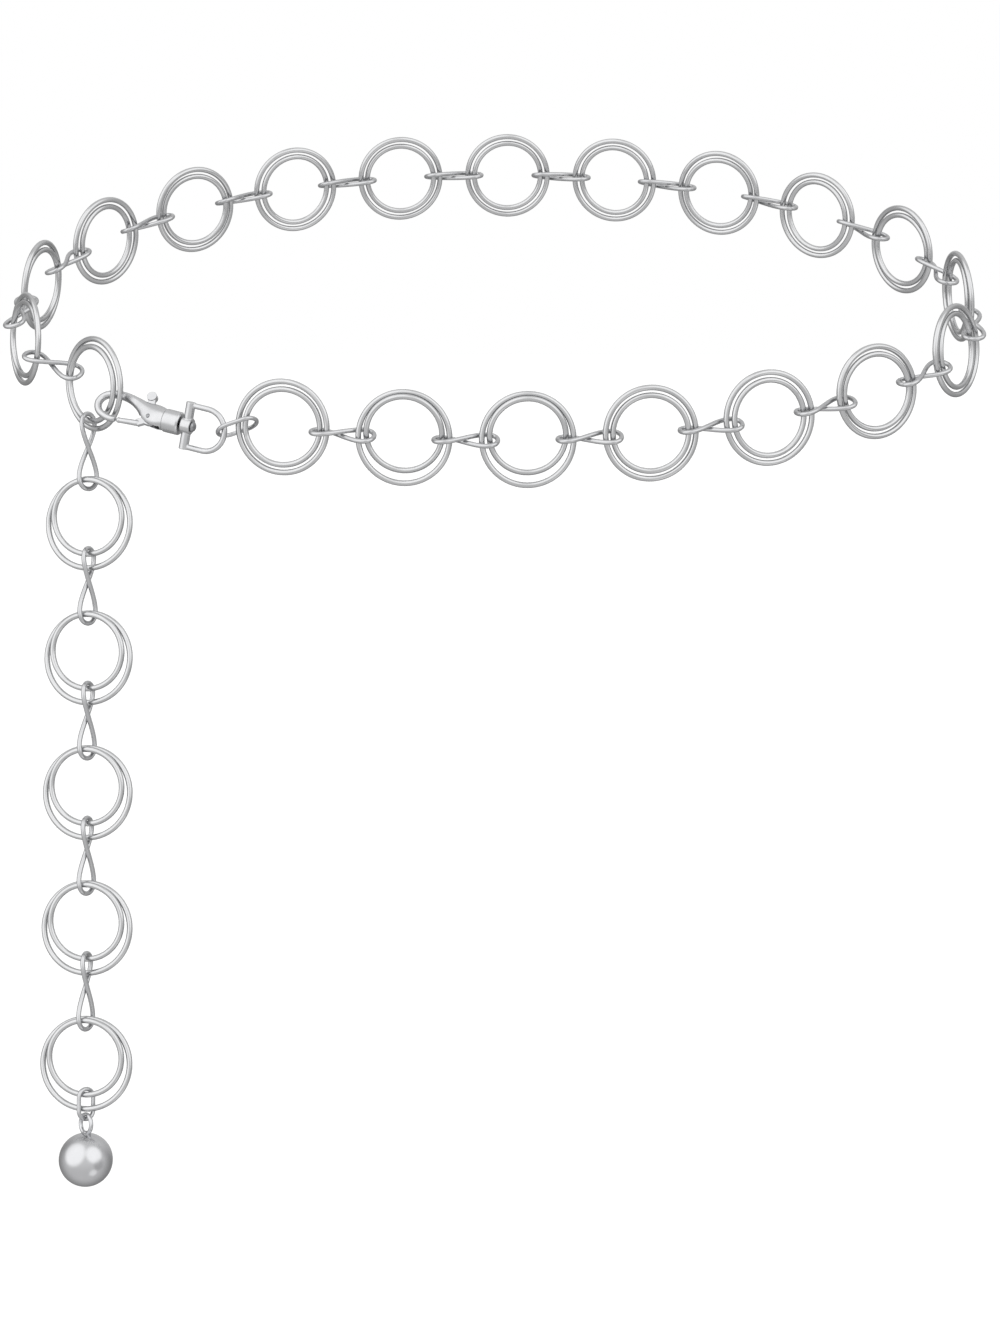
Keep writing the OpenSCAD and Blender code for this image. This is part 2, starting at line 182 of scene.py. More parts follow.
# %% Tubes
def tube(path, across, over, half_width, half_height, closed, sides):
    """The vertices and faces of a tube with oval sections along a path."""
    path, across, over = (np.asarray(a, float) for a in (path, across, over))
    n = len(path)
    width = np.broadcast_to(half_width, n)[:, None, None]
    height = np.broadcast_to(half_height, n)[:, None, None]
    turn = 2 * np.pi * np.arange(sides) / sides
    ring = np.cos(turn)[None, :, None] * across[:, None] * width
    ring = ring + np.sin(turn)[None, :, None] * over[:, None] * height
    points = (path[:, None] + ring).reshape(-1, 3)
    faces = []
    for k in range(n if closed else n - 1):
        a, b = k * sides, ((k + 1) % n) * sides
        faces += [[a + j, b + j, b + (j + 1) % sides, a + (j + 1) % sides] for j in range(sides)]
    if not closed:
        faces.append(list(range(sides)))
        faces.append([(n - 1) * sides + j for j in reversed(range(sides))])
    return points, faces


def joined(parts):
    """Several (vertices, faces) as one."""
    points, faces, start = [], [], 0
    for p, f in parts:
        points.append(p)
        faces += [[start + v for v in face] for face in f]
        start += len(p)
    return np.vstack(points), faces


def facing_out(points, faces):
    """The same mesh with its faces turned outwards, if they were inside out."""
    volume = sum(
        np.dot(points[f[0]], np.cross(points[f[k]], points[f[k + 1]]))
        for f in faces
        for k in range(1, len(f) - 1)
    )
    return faces if volume > 0 else [list(reversed(f)) for f in faces]


# %% [markdown]
# A mesh becomes a piece of the chain when it has a name, a finish and a body to move with. The
# solid that it stands for is then hidden.

# %% Pieces
def new_object(name, points, faces):
    mesh = bpy.data.meshes.new(name)
    mesh.from_pydata((points * MM).tolist(), [], faces)
    mesh.polygons.foreach_set("use_smooth", [True] * len(mesh.polygons))
    obj = bpy.data.objects.new(name, mesh)
    bpy.context.scene.collection.objects.link(obj)
    return obj


def finish_piece(obj, material, node, body="chain"):
    """Gives a piece its finish and its place in the part."""
    obj.data.materials.clear()
    obj.data.materials.append(material)
    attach(obj, body)
    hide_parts(node)
    return obj


# %% [markdown]
# Colours are written as sRGB hex values, as a designer picks them, and turned to the linear values
# that the shader works in. One function adds a node with its settings and its links.

# %% Colours and nodes
def linear(hex_colour):
    channels = [int(hex_colour[i : i + 2], 16) / 255 for i in (1, 3, 5)]
    return [c / 12.92 if c <= 0.04045 else ((c + 0.055) / 1.055) ** 2.4 for c in channels] + [1]


def add(tree, kind, settings=None, inputs=None):
    node = tree.nodes.new(kind)
    for name, value in (settings or {}).items():
        setattr(node, name, value)
    for name, value in (inputs or {}).items():
        socket = node.inputs[name]
        if isinstance(value, bpy.types.NodeSocket):
            tree.links.new(value, socket)
        else:
            socket.default_value = value
    return node


def per_mm(size):
    """The scale of a pattern whose features are this many millimetres across."""
    return 1 / (size * MM)


# %% [markdown]
# The chain is base metal with a thin bright nickel and rhodium plate. The wire was drawn, bent and
# tumbled before plating, so its mirror is a little soft: wide faint smudges change the gloss, and
# very fine marks catch the light. The cast pieces were polished less, so they are a shade darker
# and rougher. A metal keeps the default index of refraction, and its colour is the plate's own.

# %% Plated metal
def plated_metal(name, bright, dull, gloss, smudge_mm, mark_mm, mark_height_mm):
    """Polished plate. gloss is the (lowest, highest) roughness, and marks are tumbling marks."""
    material = bpy.data.materials.new(name)
    material.use_nodes = True
    tree = material.node_tree
    shader = tree.nodes["Principled BSDF"]
    shader.inputs["Metallic"].default_value = 1
    where = add(tree, "ShaderNodeTexCoord").outputs["Object"]
    smudges = add(
        tree,
        "ShaderNodeTexNoise",
        inputs={"Vector": where, "Scale": per_mm(smudge_mm), "Detail": 3, "Roughness": 0.55},
    )
    marks = add(
        tree,
        "ShaderNodeTexNoise",
        inputs={"Vector": where, "Scale": per_mm(mark_mm), "Detail": 4, "Roughness": 0.6},
    )
    tint = add(
        tree,
        "ShaderNodeMix",
        {"data_type": "RGBA"},
        {"Factor": smudges.outputs["Fac"]},
    )
    tint.inputs["A"].default_value = linear(bright)
    tint.inputs["B"].default_value = linear(dull)
    polish = add(
        tree,
        "ShaderNodeMapRange",
        inputs={
            "Value": smudges.outputs["Fac"],
            "From Min": 0.3,
            "From Max": 0.7,
            "To Min": gloss[0],
            "To Max": gloss[1],
        },
    )
    relief = add(
        tree,
        "ShaderNodeBump",
        inputs={"Height": marks.outputs["Fac"], "Distance": mark_height_mm * MM, "Strength": 1},
    )
    tree.links.new(tint.outputs["Result"], shader.inputs["Base Color"])
    tree.links.new(polish.outputs["Result"], shader.inputs["Roughness"])
    tree.links.new(relief.outputs["Normal"], shader.inputs["Normal"])
    return material


ring_plate = plated_metal(
    "plated_ring_wire", "#CCCCCD", "#C0C1C2", (0.14, 0.22), smudge_mm=6, mark_mm=0.5, mark_height_mm=0.002
)
link_plate = plated_metal(
    "plated_link_wire", "#C8C8C9", "#BABBBD", (0.17, 0.27), smudge_mm=4, mark_mm=0.4, mark_height_mm=0.003
)
cast_plate = plated_metal(
    "plated_zinc_casting", "#D0D0D1", "#C3C4C6", (0.22, 0.32), smudge_mm=3, mark_mm=0.6, mark_height_mm=0.008
)
ball_plate = plated_metal(
    "plated_polished_ball", "#CDCDCF", "#C4C5C7", (0.16, 0.24), smudge_mm=7, mark_mm=0.6, mark_height_mm=0.002
)
pin_steel = plated_metal(
    "turned_steel_pin", "#A9AAAC", "#96979A", (0.3, 0.4), smudge_mm=1.5, mark_mm=0.25, mark_height_mm=0.006
)

# %% [markdown]
# A ring is a length of wire bent round and soldered shut. The solder joint was filed flush, and it
# shows as a shallow dip across the wire, turned to a different side on each ring.

# %% Rings
RING_STEPS = 128
WIRE_SIDES = 20
JOINT_DIP = 0.05
JOINT_HALF_LENGTH = 0.25


def ring(radius, joint_angle):
    a = 2 * np.pi * np.arange(RING_STEPS) / RING_STEPS
    outward = np.stack([np.cos(a), np.sin(a), 0 * a], 1)
    over = np.tile(vec(0, 0, 1), (RING_STEPS, 1))
    off = (a - math.radians(joint_angle) + np.pi) % (2 * np.pi) - np.pi
    dip = JOINT_DIP * np.exp(-((off * radius / JOINT_HALF_LENGTH) ** 2))
    wire = RING_WIRE / 2 - dip
    return tube(outward * radius, outward, over, wire, wire, True, WIRE_SIDES)


# %% [markdown]
# Inside each large ring the small one lies a few degrees askew, one way and then the other. In two
# pairs at the front it has slipped up, and leans so that its top rests on the front of the large
# ring.

# %% Ring pairs round the waist
GAP = 0.1
SIDE_GAP = 0.15
LAST_PAIR_SPREAD = 0.95
SMALL_RING_TILT = 3.5
SMALL_RING_RISE = 1.25
RAISED_PAIRS = (1, 2)
JOINT_TURN = 137

top_step = RING_R - SMALL_RING_R - SMALL_RING_RISE
raised_step = math.sqrt((RING_WIRE + 1.2 * SIDE_GAP) ** 2 - top_step**2)
raised_lean = math.degrees(math.asin(raised_step / SMALL_RING_R))


def waist_pair(i):
    large, large_faces = ring(RING_R, 90 + JOINT_TURN * i)
    small, small_faces = ring(SMALL_RING_R, 200 + JOINT_TURN * i)
    if i in RAISED_PAIRS:
        small = turned(small, "X", raised_lean) + vec(0, SMALL_RING_RISE, 0)
    elif i == LAST:
        large = large - vec(0, 0, LAST_PAIR_SPREAD / 2)
        small = small + vec(0, 0, LAST_PAIR_SPREAD / 2)
    else:
        small = turned(small, "Y", SMALL_RING_TILT if i % 2 == 0 else -SMALL_RING_TILT)
    points, faces = joined([(large, large_faces), (small, small_faces)])
    return place(points, pair_centre(i), pair_frame(i)), faces


for i in range(WAIST_PAIRS):
    node = "ring_pair_%02d" % (i + 1)
    points, faces = waist_pair(i)
    obj = new_object("rings_%02d" % (i + 1), points, facing_out(points, faces))
    finish_piece(obj, ring_plate, node)
print("ring pairs round the waist:", WAIST_PAIRS)

# %% [markdown]
# In the tail both rings of a pair hang on the link above, so their tops touch it side by side, and
# the small ring rides higher than the large one. The tail leans forward over the hip, and each pair
# is turned a little less than the one above.

# %% Ring pairs of the tail
LINK_WIRE = 1.5
TAIL_LINK_LENGTH = 25.4
TAIL_PAIRS = 5
TAIL_LEAN = math.radians(10)
TAIL_TURN = 18
TAIL_TURN_STEP = -2
TAIL_RING_RISE = 2
TAIL_TOP_SHIFT = 0.2
BEND_ROOM = 1.05

link_reach = SMALL_RING_R - RING_WIRE / 2 - LINK_WIRE / 2 - 2 * GAP
tail_down = vec(0, -math.sin(TAIL_LEAN), -math.cos(TAIL_LEAN))
tail_spread = (RING_WIRE + SIDE_GAP) / 2
tail_ring_lean = math.degrees(math.asin(tail_spread / SMALL_RING_R))
tail_reach_up = link_reach + TAIL_RING_RISE - BEND_ROOM
tail_reach_down = link_reach - TAIL_RING_RISE
tail_link_span = TAIL_LINK_LENGTH - LINK_WIRE
tail_pitch = tail_reach_down + tail_link_span + tail_reach_up
last_frame = pair_frame(LAST)
tail_top = pair_centre(LAST) - last_frame[1] * link_reach + last_frame[2] * TAIL_TOP_SHIFT


def tail_centre(i):
    return tail_top + tail_down * (tail_link_span + tail_reach_up + i * tail_pitch)


def tail_out(i):
    a = math.radians(TAIL_TURN + i * TAIL_TURN_STEP)
    return square_to(vec(-math.sin(a), -math.cos(a), 0), tail_down)


def tail_frame(i):
    return np.array([np.cross(-tail_down, tail_out(i)), -tail_down, tail_out(i)])


def tail_pair(i):
    large, large_faces = ring(RING_R, 40 + JOINT_TURN * i)
    small, small_faces = ring(SMALL_RING_R, 250 + JOINT_TURN * i)
    large = large - vec(0, 0, tail_spread)
    small = turned(small, "X", tail_ring_lean) + vec(0, TAIL_RING_RISE, 0)
    points, faces = joined([(large, large_faces), (small, small_faces)])
    return place(points, tail_centre(i), tail_frame(i)), faces


for i in range(TAIL_PAIRS):
    points, faces = tail_pair(i)
    obj = new_object("tail_rings_%d" % (i + 1), points, facing_out(points, faces))
    finish_piece(obj, ring_plate, "tail_pair_%d" % (i + 1))
print("tail pitch: %.1f mm" % tail_pitch)

# %% [markdown]
# A figure-eight link is one closed wire that crosses over itself in the middle, and it goes through
# both rings at each end. A cosine along it, a sine of twice the angle across it and a small sine
# between its strands give that shape, with the strands just clear of each other where they cross.

# %% Figure-eight links
LINK_STEPS = 144
LINK_SIDES = 14
LINK_WIDTH = 8
LINK_HOLD = 3.75
LAST_LINK_SHIFT = 0.16
LINK_ROLL = math.radians(14)
LINK_CROSS = (LINK_WIRE + GAP) / 2
link_half_width = (LINK_WIDTH - LINK_WIRE) / 2


def closed_wire(path, wire):
    """A round wire along a closed path that lies nearly in a plane."""
    ahead = np.roll(path, -1, 0) - np.roll(path, 1, 0)
    ahead /= np.linalg.norm(ahead, axis=1)[:, None]
    side = np.cross(vec(0, 0, 1), ahead)
    side /= np.linalg.norm(side, axis=1)[:, None]
    return tube(path, side, np.cross(ahead, side), wire / 2, wire / 2, True, LINK_SIDES)


def figure_eight(p, q, out, half_width):
    along = unit(q - p)
    level = square_to(out, along)
    wide = level * math.cos(LINK_ROLL) - np.cross(level, along) * math.sin(LINK_ROLL)
    a = 2 * np.pi * np.arange(LINK_STEPS) / LINK_STEPS
    half_length = np.linalg.norm(q - p) / 2
    path = np.stack(
        [half_length * np.cos(a), half_width * np.sin(2 * a), LINK_CROSS * np.sin(a)], 1
    )
    points, faces = closed_wire(path, LINK_WIRE)
    return place(points, (p + q) / 2, [along, wide, np.cross(along, wide)]), faces


def pair_side(i, way):
    return pair_centre(i) + pair_frame(i)[0] * way * (RING_R + SMALL_RING_R) / 2


def waist_link(i):
    a, b = pair_side(i, 1), pair_side(i + 1, -1)
    if i + 1 == LAST:
        b = b - pair_frame(LAST)[2] * LAST_LINK_SHIFT
    reach = unit(b - a) * LINK_HOLD
    length = np.linalg.norm(b - a) + 2 * LINK_HOLD
    t = math.acos(1 - (2 * LINK_HOLD + RING_R - SMALL_RING_R) / length)
    half_width = link_half_width * max(1, math.sin(math.radians(120)) / math.sin(2 * t))
    out = pair_frame(i)[2] + pair_frame(i + 1)[2]
    return figure_eight(a - reach, b + reach, out, half_width)


def tail_link(i):
    top = tail_top if i == 0 else tail_foot(i - 1)
    above = last_frame[2] if i == 0 else tail_out(i - 1)
    return figure_eight(top, tail_crown(i), 3 * tail_out(i) + above, link_half_width)


def tail_crown(i):
    return tail_centre(i) - tail_down * tail_reach_up


def tail_foot(i):
    return tail_centre(i) + tail_down * tail_reach_down - tail_out(i) * tail_spread


points, faces = joined([waist_link(i) for i in range(LAST)])
finish_piece(
    new_object("waist_link_wires", points, facing_out(points, faces)),
    link_plate,
    "waist_links",
)
points, faces = joined([tail_link(i) for i in range(TAIL_PAIRS)])
finish_piece(
    new_object("tail_link_wires", points, facing_out(points, faces)),
    link_plate,
    "tail_links",
)
print("figure-eight links:", LAST + TAIL_PAIRS)

# %% [markdown]
# The clasp has axes of its own: X runs from the hook to the swivel, and its origin is the end of the
# barrel. Two plain oval links join in, one at the D ring and one at the end of the tail.

# %% Oval links
CLASP_OFFSET = vec(34.88, -4.77, 3.81)
CLASP_DIRECTION = vec(0.9991, -0.0037, -0.0419)
CLASP_ROLL = math.radians(-37.8)
SMALL_LINK_WIRE = 1.35
BAR_AT = 2.1
STUB_L = 6.2
D_RING_WIDTH = 15
D_RING_WIRE = 1.8
bow_r = (D_RING_WIDTH - D_RING_WIRE) / 2

clasp_at = pair_centre(LAST) + CLASP_OFFSET @ clasp_line_frame
clasp_along = unit(CLASP_DIRECTION @ clasp_line_frame)
clasp_level = square_to(clasp_line_frame[2], clasp_along)
clasp_out = clasp_level * math.cos(CLASP_ROLL) + np.cross(clasp_along, clasp_level) * math.sin(
    CLASP_ROLL
)
clasp_frame = np.array([clasp_along, np.cross(clasp_out, clasp_along), clasp_out])


def oval_link(length, width, wire, at, axes):
    bend_r = (width - wire) / 2
    half_side = (length - width) / 2
    bend = np.linspace(-np.pi / 2, np.pi / 2, 40)
    side = np.linspace(half_side, -half_side, 14)[1:-1]
    right = np.stack([half_side + bend_r * np.cos(bend), bend_r * np.sin(bend)], 1)
    top = np.stack([side, np.full(len(side), bend_r)], 1)
    flat = np.vstack([right, top, -right, -top])
    points, faces = closed_wire(np.column_stack([flat, np.zeros(len(flat))]), wire)
    return place(points, at, axes), faces


CLASP_LINK = {"length": 14, "width": 8.5, "wire": SMALL_LINK_WIRE}
CLASP_LINK_PLAY = 0.5
CLASP_LINK_ROLL = math.radians(32)
CLASP_LINK_FORWARD = 0.8
CLASP_LINK_DROP = 1
inside_bow = BAR_AT + STUB_L + bow_r - (D_RING_WIRE + SMALL_LINK_WIRE) / 2
link_from = clasp_at + clasp_along * (inside_bow - CLASP_LINK_PLAY)
first_frame = pair_frame(0)
link_to = pair_side(0, -1) + first_frame[2] * CLASP_LINK_FORWARD - first_frame[1] * CLASP_LINK_DROP
along = unit(link_to - link_from)
rolled = first_frame[2] * math.cos(CLASP_LINK_ROLL) + first_frame[1] * math.sin(CLASP_LINK_ROLL)
level = square_to(rolled, along)
middle = link_from + along * (CLASP_LINK["length"] - SMALL_LINK_WIRE) / 2
points, faces = oval_link(**CLASP_LINK, at=middle, axes=[along, level, np.cross(along, level)])
finish_piece(
    new_object("clasp_link_wire", points, facing_out(points, faces)),
    link_plate,
    "clasp_link",
)

END_LINK = {"length": 10.8, "width": 6.6, "wire": SMALL_LINK_WIRE}
END_LINK_TURN = math.radians(-50)
end_frame = tail_frame(TAIL_PAIRS - 1)
across = end_frame[0] * math.cos(END_LINK_TURN) + end_frame[2] * math.sin(END_LINK_TURN)
end_foot = tail_foot(TAIL_PAIRS - 1)
middle = end_foot + tail_down * (END_LINK["length"] - SMALL_LINK_WIRE) / 2
points, faces = oval_link(
    **END_LINK, at=middle, axes=[tail_down, across, np.cross(tail_down, across)]
)
finish_piece(
    new_object("end_link_wire", points, facing_out(points, faces)),
    link_plate,
    "end_link",
)

# %% [markdown]
# The cast pieces of the clasp are made from plain shapes that run into each other: a swept hook, a
# turned barrel, a plate, a lug. Remeshing them as one fine skin fuses the shapes, and a few rounds
# of smoothing soften every edge by about a tenth of a millimetre, as casting and tumbling do. Cuts
# such as the slot are made before that, so that their edges soften too.

# %% Castings
CAST_VOXEL = 0.11


def turned_solid(profile, steps=64):
    """A solid of revolution about X from (x, radius) points that start and end on the axis."""
    a = 2 * np.pi * np.arange(steps) / steps
    rows = [np.stack([np.full(steps, x), r * np.cos(a), r * np.sin(a)], 1) for x, r in profile[1:-1]]
    points = np.vstack([vec(profile[0][0], 0, 0)[None]] + rows + [vec(profile[-1][0], 0, 0)[None]])
    faces = []
    for k in range(len(rows) - 1):
        a0, b0 = 1 + k * steps, 1 + (k + 1) * steps
        faces += [[a0 + j, b0 + j, b0 + (j + 1) % steps, a0 + (j + 1) % steps] for j in range(steps)]
    last_row, tip = 1 + (len(rows) - 1) * steps, len(points) - 1
    faces += [[0, 1 + j, 1 + (j + 1) % steps] for j in range(steps)]
    faces += [[tip, last_row + (j + 1) % steps, last_row + j] for j in range(steps)]
    return points, faces


def rod(start, end, radius, end_radius=None, steps=48):
    """A round rod between two points, tapered if end_radius is given."""
    start, end = np.array(start, float), np.array(end, float)
    length = np.linalg.norm(end - start)
    points, faces = turned_solid(
        [(0, 0), (0, radius), (length, radius if end_radius is None else end_radius), (length, 0)],
        steps,
    )
    along = (end - start) / length
    guide = vec(0, 0, 1) if abs(along[2]) < 0.9 else vec(0, 1, 0)
    side = square_to(guide, along)
    return place(points, start, [along, np.cross(side, along), side]), faces


def box(low, high):
    corners = np.array([[x, y, z] for x in (0, 1) for y in (0, 1) for z in (0, 1)])
    faces = [[0, 1, 3, 2], [4, 6, 7, 5], [0, 4, 5, 1], [2, 3, 7, 6], [0, 2, 6, 4], [1, 5, 7, 3]]
    return np.array(low) + corners * (np.array(high) - np.array(low)), faces


def applied(obj):
    """Replaces an object's mesh by what its modifiers make of it."""
    graph = bpy.context.evaluated_depsgraph_get()
    mesh = bpy.data.meshes.new_from_object(obj.evaluated_get(graph))
    obj.modifiers.clear()
    obj.data = mesh
    mesh.polygons.foreach_set("use_smooth", [True] * len(mesh.polygons))
    return obj


def cast(name, solids, cuts=(), rounds=6, voxel=CAST_VOXEL):
    """Solids fused into one casting, with the cuts taken out and the edges softened."""
    body = None
    for operation, shapes in (("UNION", solids), ("DIFFERENCE", cuts)):
        for points, faces in shapes:
            other = new_object(name + "_tool", points, facing_out(points, faces))
            if body is None:
                body = other
                body.name = name
                continue
            step = body.modifiers.new("fuse", "BOOLEAN")
            step.operation = operation
            step.solver = "EXACT"
            step.object = other
            applied(body)
            bpy.data.objects.remove(other)
    skin = body.modifiers.new("skin", "REMESH")
    skin.mode = "VOXEL"
    skin.voxel_size = voxel * MM
    soften = body.modifiers.new("soften", "SMOOTH")
    soften.factor = 0.5
    soften.iterations = rounds
    return applied(body)


def set_in_clasp(obj, turn=0):
    """Moves a casting from the clasp's own axes to its place on the chain."""
    co = np.empty(len(obj.data.vertices) * 3)
    obj.data.vertices.foreach_get("co", co)
    points = turned(co.reshape(-1, 3) / MM, "X", turn)
    obj.data.vertices.foreach_set("co", (place(points, clasp_at, clasp_frame) * MM).ravel())
    obj.data.update()
    return obj


# %% [markdown]
# The hook is drawn by its sections, from its tip round the bend to the barrel. Each row gives where
# the middle of the section is, and how wide and thick it is there, and a smooth curve through the
# rows gives the sections between.

# %% Clasp body
HOOK_SECTIONS = np.array(
    [
        # X, Y, width, thickness
        [-21.35, -4.1, 0.9, 1.1],
        [-21.6, -4.1, 1.5, 1.9],
        [-22.8, -4.25, 1.9, 2.2],
        [-25.3, -3.8, 2.1, 2.3],
        [-27.9, -2.4, 2.3, 2.5],
        [-29.2, 0, 2.4, 2.6],
        [-28.8, 2.3, 2.4, 2.6],
        [-27.1, 3.9, 2.4, 2.6],
        [-24.5, 4.6, 2.6, 2.7],
        [-21.5, 4.6, 2.8, 2.9],
        [-18.5, 4, 3.1, 3.2],
        [-16, 3.1, 3.8, 3.6],
        [-13.8, 2.1, 5, 4.2],
        [-11.8, 1.2, 6.8, 4.8],
        [-9.5, 0.5, 7.8, 5.6],
        [-7, 0.1, 7.5, 6.3],
        [-5, 0, 6.6, 6.4],
    ]
)
HOOK_STEPS = 10
HOOK_SIDES = 44
HINGE = vec(-10.6, -1.2, 0)
PIN_R = 0.6
PIN_HALF_LENGTH = 2.5
POST_R = 0.9
POST_DEPTH = 3.5
SLOT_FROM = -14.4
SLOT_TO = -6.2
SLOT_HALF_WIDTH = 0.95
BARREL_R = 3.7
BARREL_L = 5.5
BARREL_BEVEL = 0.3
BARREL_MOUTH_BEVEL = 0.5


def smooth_rows(rows, steps):
    """A Catmull-Rom curve through the rows of a table."""
    padded = np.vstack([rows[:1], rows, rows[-1:]])
    out = []
    for k in range(len(rows) - 1):
        a, b, c, d = padded[k : k + 4]
        for s in np.arange(steps) / steps:
            bend = (2 * a - 5 * b + 4 * c - d) * s**2 + (3 * b - a - 3 * c + d) * s**3
            out.append(b + (c - a) * s / 2 + bend / 2)
    return np.array(out + [rows[-1]])


def hook():
    rows = smooth_rows(HOOK_SECTIONS, HOOK_STEPS)
    path = np.column_stack([rows[:, :2], np.zeros(len(rows))])
    ahead = np.gradient(path, axis=0)
    ahead /= np.linalg.norm(ahead, axis=1)[:, None]
    across = np.stack([-ahead[:, 1], ahead[:, 0], 0 * ahead[:, 0]], 1)
    over = np.tile(vec(0, 0, 1), (len(rows), 1))
    return tube(path, across, over, rows[:, 2] / 2, rows[:, 3] / 2, False, HOOK_SIDES)


barrel = turned_solid(
    [
        (-BARREL_L, 0),
        (-BARREL_L, BARREL_R - BARREL_BEVEL),
        (-BARREL_L + BARREL_BEVEL, BARREL_R),
        (-BARREL_MOUTH_BEVEL, BARREL_R),
        (0, BARREL_R - BARREL_MOUTH_BEVEL),
        (0, 0),
    ]
)
slot = box([SLOT_FROM, -2 * BARREL_R, -SLOT_HALF_WIDTH], [SLOT_TO, 2 * BARREL_R, SLOT_HALF_WIDTH])
across_clasp = vec(0, 0, 2 * BARREL_R)
pin_bore = rod(HINGE - across_clasp, HINGE + across_clasp, PIN_R)
post_bore = rod([-POST_DEPTH, 0, 0], [1, 0, 0], POST_R)
clasp_body = cast("clasp_casting", [hook(), barrel], [slot, pin_bore, post_bore])
finish_piece(set_in_clasp(clasp_body), cast_plate, "clasp_body")
print("clasp body faces:", len(clasp_body.data.polygons))

# %% [markdown]
# The gate lever is one casting: a hub round the hinge pin, an arm up to the round thumb lug, and the
# gate, a tapered rod with a small knob that closes on the tip of the hook. It moves with its own
# body, so that pressing the lug swings the gate inwards.

# %% Gate lever and pins
LEVER_HALF_T = 0.65
HUB_R = 2.2
ARM_HALF_W = 1.2
LUG = vec(-13, 6.6, 0)
LUG_R = 1.6
LUG_HALF_L = 1.1
GATE_ROOT = vec(-14, -3.5, 0)
GATE_TIP = vec(-20.1, -4.05, 0)
GATE_ROOT_R = 0.95
GATE_END_R = 0.8
GATE_KNOB_R = 0.9
TURN_PLAY = 0.06
PIN_BEVEL = 0.1


def across_rod(middle, radius, half_length):
    step = vec(0, 0, half_length)
    return rod(middle - step, middle + step, radius)


def arm(p, q):
    """A flat arm of the lever between two points."""
    along = unit(q - p)
    points, faces = box([0, -ARM_HALF_W, -LEVER_HALF_T], [np.linalg.norm(q - p), ARM_HALF_W, LEVER_HALF_T])
    return place(points, p, [along, np.cross(vec(0, 0, 1), along), vec(0, 0, 1)]), faces


def knob(middle, radius):
    a = np.linspace(0, np.pi, 25)
    profile = [(-radius, 0)] + [(-radius * math.cos(t), radius * math.sin(t)) for t in a[1:-1]]
    points, faces = turned_solid(profile + [(radius, 0)], 32)
    return points + middle, faces


gate_lever = cast(
    "gate_lever_casting",
    [
        across_rod(HINGE, HUB_R, LEVER_HALF_T),
        arm(HINGE, LUG),
        arm(HINGE, GATE_ROOT),
        across_rod(LUG, LUG_R, LUG_HALF_L),
        rod(GATE_ROOT, GATE_TIP, GATE_ROOT_R, GATE_END_R),
        knob(GATE_ROOT, GATE_ROOT_R),
        knob(GATE_TIP, GATE_KNOB_R),
    ],
    [across_rod(HINGE, PIN_R + TURN_PLAY, BARREL_R)],
    rounds=4,
    voxel=0.09,
)
finish_piece(set_in_clasp(gate_lever), cast_plate, "gate_lever", body="gate")

gate_pin = turned_solid(
    [
        (-PIN_HALF_LENGTH, 0),
        (-PIN_HALF_LENGTH, PIN_R - PIN_BEVEL),
        (-PIN_HALF_LENGTH + PIN_BEVEL, PIN_R),
        (PIN_HALF_LENGTH - PIN_BEVEL, PIN_R),
        (PIN_HALF_LENGTH, PIN_R - PIN_BEVEL),
        (PIN_HALF_LENGTH, 0),
    ]
)
points = gate_pin[0][:, [1, 2, 0]] + HINGE
pin = new_object("gate_pin_steel", points, facing_out(points, gate_pin[1]))
finish_piece(set_in_clasp(pin), pin_steel, "gate_pin")

# %% [markdown]
# The swivel is a headed post in the barrel. The D ring turns on it: a straight bar with a bored boss
# in the middle, and a bow of round wire soldered to the ends of the bar.

# %% Swivel
SWIVEL_TURN = 38
BAR_R = 1.5
BOSS_R = 2.5
BOSS_HALF_L = 1.6
HEAD_R = 1.7
HEAD_H = 1.2
HEAD_AT = BAR_AT + BOSS_HALF_L + GAP

dome = [(HEAD_AT + HEAD_H * math.sin(t), HEAD_R * math.cos(t)) for t in np.linspace(0.25, 1.4, 10)]
post_points, post_faces = turned_solid(
    [(-POST_DEPTH, 0), (-POST_DEPTH, POST_R), (HEAD_AT, POST_R)]
    + [(HEAD_AT, HEAD_R - 0.1), (HEAD_AT + 0.15, HEAD_R)]
    + dome
    + [(HEAD_AT + HEAD_H, 0)]
)
post = new_object("swivel_post_steel", post_points, facing_out(post_points, post_faces))
finish_piece(set_in_clasp(post), pin_steel, "swivel_post")

half_turn = np.linspace(-np.pi / 2, np.pi / 2, 72)
bow_path = np.vstack(
    [
        [[BAR_AT, -bow_r, 0]],
        np.stack(
            [BAR_AT + STUB_L + bow_r * np.cos(half_turn), bow_r * np.sin(half_turn), 0 * half_turn], 1
        ),
        [[BAR_AT, bow_r, 0]],
    ]
)
ahead = np.gradient(bow_path, axis=0)
ahead /= np.linalg.norm(ahead, axis=1)[:, None]
bow_side = np.stack([-ahead[:, 1], ahead[:, 0], 0 * ahead[:, 0]], 1)
bow_over = np.tile(vec(0, 0, 1), (len(bow_path), 1))
bow = tube(bow_path, bow_side, bow_over, D_RING_WIRE / 2, D_RING_WIRE / 2, False, 32)
half_bar = vec(0, D_RING_WIDTH / 2, 0)
bar_middle = vec(BAR_AT, 0, 0)
boss_end = vec(BOSS_HALF_L, 0, 0)
d_ring = cast(
    "d_ring_casting",
    [
        rod(bar_middle - half_bar, bar_middle + half_bar, BAR_R),
        rod(bar_middle - boss_end, bar_middle + boss_end, BOSS_R),
        bow,
    ],
    [rod(bar_middle - 2 * boss_end, bar_middle + 2 * boss_end, POST_R + TURN_PLAY)],
)
finish_piece(set_in_clasp(d_ring, SWIVEL_TURN), cast_plate, "clasp_d_ring")

